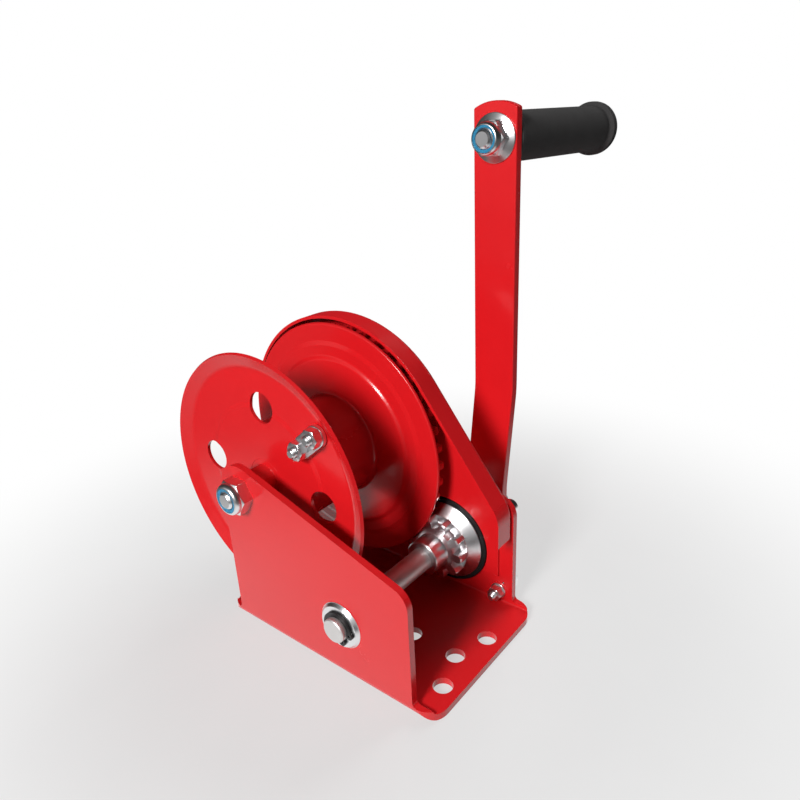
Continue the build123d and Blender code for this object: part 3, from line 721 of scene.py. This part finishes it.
def clamp_fasteners():
    """Two studs of the rope clamp with their nuts."""
    radius, spacing, turn = 55.5, 16.0, math.radians(40.5)
    size, pitch, reach = 6.0, 1.0, 3.0
    flats, height = 10.0, 5.0
    head, head_height = 5.5, 2.5
    across = Vector((math.cos(turn), 0.0, math.sin(turn)))
    distances = (radius - spacing / 2, radius + spacing / 2)
    axes = [DRUM_AXIS + across * distance * MM for distance in distances]
    nut_end = CLAMP_SEAT - height
    nut = hex_rows(size / 2 + THREAD_FIT, flats, CLAMP_SEAT, nut_end, bevel_start=True)
    turned("clamp_nuts", axes, nut, NUT_COLUMNS, flats)
    head_end = NEAR_FLANGE_BACK + head_height
    cap = [
        (size / 2, NEAR_FLANGE_BACK, 0),
        (head, NEAR_FLANGE_BACK, 0.3),
        (head, head_end, 0.8),
        (0, head_end, 0),
    ]
    stud = thread_rows(size, nut_end - reach, CLAMP_SEAT, pitch) + rounded(cap)
    turned("clamp_bolts", axes, stud, STUD_COLUMNS, pitch=pitch)


def pawl_fasteners():
    """Pivot bolt of the pawl with its flanged nut."""
    size, pitch, reach, pivot = 5.0, 0.8, 3.5, 6.5
    flats, height, flange, flange_height = 8.0, 6.5, 10.0, 1.2
    head, head_seat, head_height = 9.5, 69.1, 2.4
    bore = size / 2 + THREAD_FIT
    rim = FAR_PLATE_INSIDE - flange_height
    nut_end = FAR_PLATE_INSIDE - height
    skirt = [
        (bore, FAR_PLATE_INSIDE, 0),
        (flange / 2, FAR_PLATE_INSIDE, 0.2),
        (flange / 2, rim, 0.4),
        (bore, rim, 0),
    ]
    walls = hex_rows(bore, flats, rim, nut_end)
    turned("pawl_nut", [PAWL_AXIS], rounded(skirt)[:-1] + walls[1:], NUT_COLUMNS, flats)
    head_end = head_seat + head_height
    stem = [
        (size / 2, FAR_PLATE, 0),
        (pivot / 2, FAR_PLATE, 0),
        (pivot / 2, head_seat, 0),
        (head / 2, head_seat, 0.2),
        (head / 2, head_end, 0.8),
        (0, head_end, 0),
    ]
    rows = thread_rows(size, nut_end - reach, FAR_PLATE_INSIDE, pitch) + rounded(stem)
    turned("pawl_bolt", [PAWL_AXIS], rows, STUD_COLUMNS, pitch=pitch)


def shaft():
    """Shaft with a groove for its circlip and a thicker brake screw, and the nut on its far end."""
    journal, screw, end = 7.0, 8.0, BOLT / 2
    near_end, groove, groove_end, chamfer = -51.1, -47.9, -46.7, 0.6
    washer, flats, height, reach = 2.0, 18.0, 8.0, 3.0
    step = ARM_HUB_BACK + PLAY
    seat = step + washer
    corners = [
        (0, near_end, 0),
        (journal - chamfer, near_end, 0.3),
        (journal, near_end + chamfer, 0.3),
        (journal, groove, 0.1),
        (journal - chamfer, groove, 0),
        (journal - chamfer, groove_end, 0),
        (journal, groove_end, 0.1),
        (journal, JOURNAL_END, 0),
        (screw, JOURNAL_END, 0),
        (screw, step, 0.3),
        (end, step, 0),
    ]
    thread = thread_rows(BOLT, seat + height + reach, step, BOLT_PITCH)
    turned("pinion_shaft", [SHAFT_AXIS], rounded(corners) + thread[::-1], pitch=BOLT_PITCH)
    nut = hex_rows(end + THREAD_FIT, flats, seat, seat + height, bevel_start=True)
    turned("shaft_nut", [SHAFT_AXIS], nut, NUT_COLUMNS, flats)


def near_bush():
    """Bush in the near plate, with a bevelled flange outside."""
    bore, sleeve, lip, flange = 7.05, 9.5, 12.1, 13.7
    face, slope, ledge, length = -46.5, 1.7, 0.2, 6.0
    end = NEAR_PLATE + length
    corners = [
        (bore, face, 0.5),
        (lip, face, 0.3),
        (flange - ledge, face + slope, 0.2),
        (flange, face + slope, 0.1),
        (flange, NEAR_PLATE, 0.1),
        (sleeve, NEAR_PLATE, 0),
        (sleeve, end, 0.4),
        (bore, end, 0.3),
    ]
    turned("near_bush", [SHAFT_AXIS], rounded(corners))


def far_bush():
    """Bush in the far plate, with a wide flange inside."""
    bore, sleeve, flange, face = 14.05, 17.0, 28.75, 53.2
    corners = [
        (bore, face, 0.3),
        (flange, face, 0.7),
        (flange, FAR_PLATE_INSIDE, 0.1),
        (sleeve, FAR_PLATE_INSIDE, 0),
        (sleeve, FAR_PLATE, 0.3),
        (bore, FAR_PLATE, 0.3),
    ]
    turned("far_bush", [SHAFT_AXIS], rounded(corners))


def barrel():
    """Tube between the flanges, with a hollow weld bead at each end."""
    inside, outside, weld, edge, hollow = 29.5, 32.0, 2.5, 0.15, 2.3
    start, end = (corner[1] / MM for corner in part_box("drum_barrel"))
    corners = [
        (inside, start, 0),
        (outside + weld, start, 0),
        (outside + weld, start + edge, 0),
        (outside, start + edge, hollow),
        (outside, end - edge, hollow),
        (outside + weld, end - edge, 0),
        (outside + weld, end, 0),
        (inside, end, 0),
    ]
    turned("drum_barrel", [DRUM_AXIS], rounded(corners), BARREL_COLUMNS)


def far_flange():
    """Stamped disc of the drum with a stepped middle, a bead and a round edge over the gear's teeth."""
    bore, step, bead, lip = 13.0, 56.0, 66.5, 77.6
    step_run, bead_run = 1.2, 3.0
    middle, ring, face, sheet = 34.3, 35.9, 36.7, 2.0
    front = [
        (bore, middle, 0),
        (step - step_run, middle, 3.0),
        (step + step_run, ring, 3.0),
        (bead - bead_run, ring, 2.0),
        (bead, face, 2.0),
    ]
    rim = [(lip, face, 1.5), (lip, face + sheet, 0.3)]
    back = [(radius, place + sheet, rounding) for radius, place, rounding in reversed(front)]
    turned("drum_far_flange", [DRUM_AXIS], rounded(front + rim + back), FLANGE_COLUMNS)


def tooth_outline():
    """A function that gives the radius of the pinion's teeth at an angle, from their involute flanks."""
    teeth, module, pressure = 10, 3.5, math.radians(20.0)
    addendum, backlash, first, wall = 2.8, 0.5, math.radians(-3.0), math.radians(0.9)
    pitch_radius = module * teeth / 2
    base = pitch_radius * math.cos(pressure)
    root = pitch_radius - module
    tip = pitch_radius + addendum
    pitch = 2 * math.pi / teeth

    def involute(radius):
        angle = math.acos(min(1.0, base / radius))
        return math.tan(angle) - angle

    def half_tooth(radius):
        at_pitch = (math.pi * module / 2 - backlash / 2) / 2 / pitch_radius
        return at_pitch + involute(pitch_radius) - involute(radius)

    def outline(angle):
        turn = abs((angle - first + pitch / 2) % pitch - pitch / 2)
        if turn > half_tooth(base):
            return max(root, base - (base - root) * (turn - half_tooth(base)) / wall)
        low, high = base, tip
        for _ in range(FLANK_HALVINGS):
            middle = (low + high) / 2
            low, high = (middle, high) if half_tooth(middle) > turn else (low, middle)
        return low

    return outline


def pinion():
    """Pinion with a plain hub, chamfered teeth and a flared rim behind them."""
    bore, hub, core, tip = 7.0, 11.0, 14.3, 20.3
    shoulder, rim, journal = 19.8, 25.9, 14.0
    start, teeth, flare, flare_end, back = 27.0, 39.3, 46.8, 52.3, 53.0
    hub_chamfer, chamfer, slope = 0.5, 0.8, 0.9
    body = [
        (bore, start, 0.2),
        (hub - hub_chamfer, start, 0.2),
        (hub, start + hub_chamfer, 0.2),
        (hub, teeth - slope, 0.3),
        (core, teeth, 0),
        (core, flare, 2.5),
        (shoulder, flare, 1.5),
        (rim, flare_end, 0.2),
        (rim, back, 0.2),
        (journal, back, 0.1),
        (journal, JOURNAL_END, 0.3),
        (bore, JOURNAL_END, 0.2),
    ]
    rows = []
    for row in rounded(body):
        toothed = row.radius >= core and row.place <= flare_end
        if toothed and row.place == teeth:
            rows += [row, Row(core, teeth, tip - chamfer), Row(core, teeth + chamfer, tip)]
        elif toothed:
            last = rows[-1]
            for step in range(1, FLARE_STEPS + 1):
                share = step / FLARE_STEPS
                radius = last.radius + (row.radius - last.radius) * share
                rows.append(Row(radius, last.place + (row.place - last.place) * share, tip))
        else:
            rows.append(row)
    shape = bmesh.new()
    skin(shape, SHAFT_AXIS, rows, PINION_COLUMNS, tooth_outline(), TOOTH_BLEND)
    add_piece(shape, "pinion")


def grip():
    """Turned grip with a collar at the arm, a flared end flange and a pocket for the bolt's head."""
    bore, body, outer, pocket = 6.05, 14.1, 14.7, 11.5
    collar, collar_length, step = 14.4, 4.0, 1.0
    flange, thickness, flare = 17.4, 6.0, 2.2
    collar_end = GRIP_START + collar_length
    shoulder = GRIP_END - thickness
    pocket_floor = GRIP_END - POCKET_DEPTH
    corners = [
        (bore, GRIP_START, 0.4),
        (collar, GRIP_START, 1.0),
        (collar, collar_end, 0.3),
        (body, collar_end + step, 0.6),
        (outer, shoulder - flare, 2.5),
        (flange, shoulder, 0.8),
        (flange, GRIP_END, 2.0),
        (pocket, GRIP_END, 0.8),
        (pocket, pocket_floor, 0.5),
        (bore, pocket_floor, 0.2),
    ]
    turned("crank_grip", [GRIP_AXIS], rounded(corners))


def pawl_spring():
    """Copies the pawl's spring, which lies between its hook on the plate and its leg on the pawl, in one
    fixed place.
    """
    piece = make_piece(copied("pawl_spring"), "pawl_spring")
    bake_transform(piece)


def outward(azimuth, elevation):
    """Direction at an azimuth, from the near side towards the pinion's end, and an elevation, in degrees."""
    azimuth, elevation = math.radians(azimuth), math.radians(elevation)
    level = math.cos(elevation)
    return Vector((math.sin(azimuth) * level, -math.cos(azimuth) * level, math.sin(elevation)))


def set_camera():
    """Camera at the photograph's place, turned and rolled as there."""
    azimuth, roll = math.radians(CAMERA_AZIMUTH), math.radians(CAMERA_ROLL)
    back = outward(CAMERA_AZIMUTH, CAMERA_ELEVATION)
    right = Vector((math.cos(azimuth), math.sin(azimuth), 0.0))
    up = back.cross(right)
    across = right * math.cos(roll) + up * math.sin(roll)
    upward = up * math.cos(roll) - right * math.sin(roll)
    data = bpy.data.cameras.new("camera")
    data.sensor_width = SENSOR
    data.lens = CAMERA_FOCAL / IMAGE_SIZE * SENSOR
    data.clip_start = CAMERA_NEAREST
    camera = bpy.data.objects.new("camera", data)
    turn = Matrix((across, upward, back)).transposed().to_4x4()
    camera.matrix_world = Matrix.Translation(CAMERA_PLACE) @ turn
    bpy.context.collection.objects.link(camera)
    bpy.context.scene.camera = camera


def floor_paper():
    """Pale paper that keeps the object's shadow and runs out into white; to reflections it glows white near
    the object as a painted reflection, and shows dim grey further out and at its front right.
    """
    shader = new_shader("studio_floor")
    grain = shader.noise(30.0)
    colour = shader.mix(grain, (0.46, 0.46, 0.46), (0.50, 0.50, 0.50))
    paper = shader.principled(Base_Color=colour, Roughness=0.6 + 0.1 * grain)
    offset = shader.vector_math("SUBTRACT", shader.place(), FLOOR_CENTRE)
    away = shader.vector_math("LENGTH", offset)
    side = shader.parts(offset)
    front_right = side["X"].step(*FLOOR_RIGHT_RUN) * (1.0 - side["Y"].step(*FLOOR_FRONT_RUN))
    # Painted reflection: the part of the floor that reflections see glowing white, near the object and away
    # from its front right
    white_in_reflections = (1.0 - away.step(*FLOOR_MIRRORED_RUN)) * (1.0 - front_right)
    rays = shader.node("ShaderNodeLightPath")
    mirrored = shader.mix(rays["Is Glossy Ray"] * (1.0 - white_in_reflections), WHITE, FLOOR_SHADE)
    glow = shader.node("ShaderNodeEmission", None, {"Color": mirrored, "Strength": 1.0})["Emission"]
    spread = FLOOR_GLOW + (1.0 - FLOOR_GLOW) * away.step(*FLOOR_WHITE_RUN)
    fade = rays["Is Camera Ray"] * spread + rays["Is Glossy Ray"]
    return shader.close(shader.blend(fade, paper, glow))


def set_floor():
    """Wide floor under the object."""
    low, high = -FLOOR_HALF, FLOOR_HALF
    corners = [(low, low, 0.0), (high, low, 0.0), (high, high, 0.0), (low, high, 0.0)]
    mesh = bpy.data.meshes.new("studio_floor")
    mesh.from_pydata(corners, [], [(0, 1, 2, 3)])
    mesh.materials.append(floor_paper())
    floor = bpy.data.objects.new("studio_floor", mesh)
    bpy.context.collection.objects.link(floor)


def area_light(name, azimuth, elevation, distance, size, power):
    """Square lamp that faces the middle of the object."""
    towards = outward(azimuth, elevation)
    data = bpy.data.lights.new(name, "AREA")
    data.shape = "SQUARE"
    data.size = size
    data.energy = power
    light = bpy.data.objects.new(name, data)
    light.location = Vector(MIDDLE) + towards * distance
    light.rotation_euler = towards.to_track_quat("Z", "Y").to_euler()
    bpy.context.collection.objects.link(light)
    return light


def set_light():
    """Key light from the near side, and a wide light from behind that is kept out of reflections."""
    area_light("key_light", KEY_AZIMUTH, KEY_ELEVATION, KEY_DISTANCE, KEY_SIZE, KEY_POWER)
    back = area_light("back_light", BACK_AZIMUTH, BACK_ELEVATION, BACK_DISTANCE, BACK_SIZE, BACK_POWER)
    back.visible_glossy = False


def set_room():
    """Dim room that the camera sees as white, and reflections as dim with a pale wall on the near side."""
    world = bpy.data.worlds.new("studio")
    shader = Shader(world)
    rays = shader.node("ShaderNodeLightPath")
    way = shader.parts(shader.node("ShaderNodeTexCoord")["Generated"])
    wall = WALL_LEVEL * (1.0 - way["Y"].step(*WALL_SIDE)) * (1.0 - way["Z"].step(*WALL_TOP))
    seen = rays["Is Camera Ray"] + rays["Is Glossy Ray"] * wall
    room, white = (
        shader.node("ShaderNodeBackground", None, {"Color": (*WHITE, 1.0), "Strength": level})["Background"]
        for level in (ROOM_LEVEL, 1.0)
    )
    shader.close(shader.blend(seen, room, white))
    bpy.context.scene.world = world


for node, radius in EDGE_ROUNDING.items():
    soften(node, radius)
drum_fasteners()
grip_fasteners()
clamp_fasteners()
pawl_fasteners()
pawl_spring()
shaft()
near_bush()
far_bush()
barrel()
far_flange()
pinion()
grip()
set_camera()
set_floor()
set_light()
set_room()
bpy.context.scene.view_settings.view_transform = "Standard"
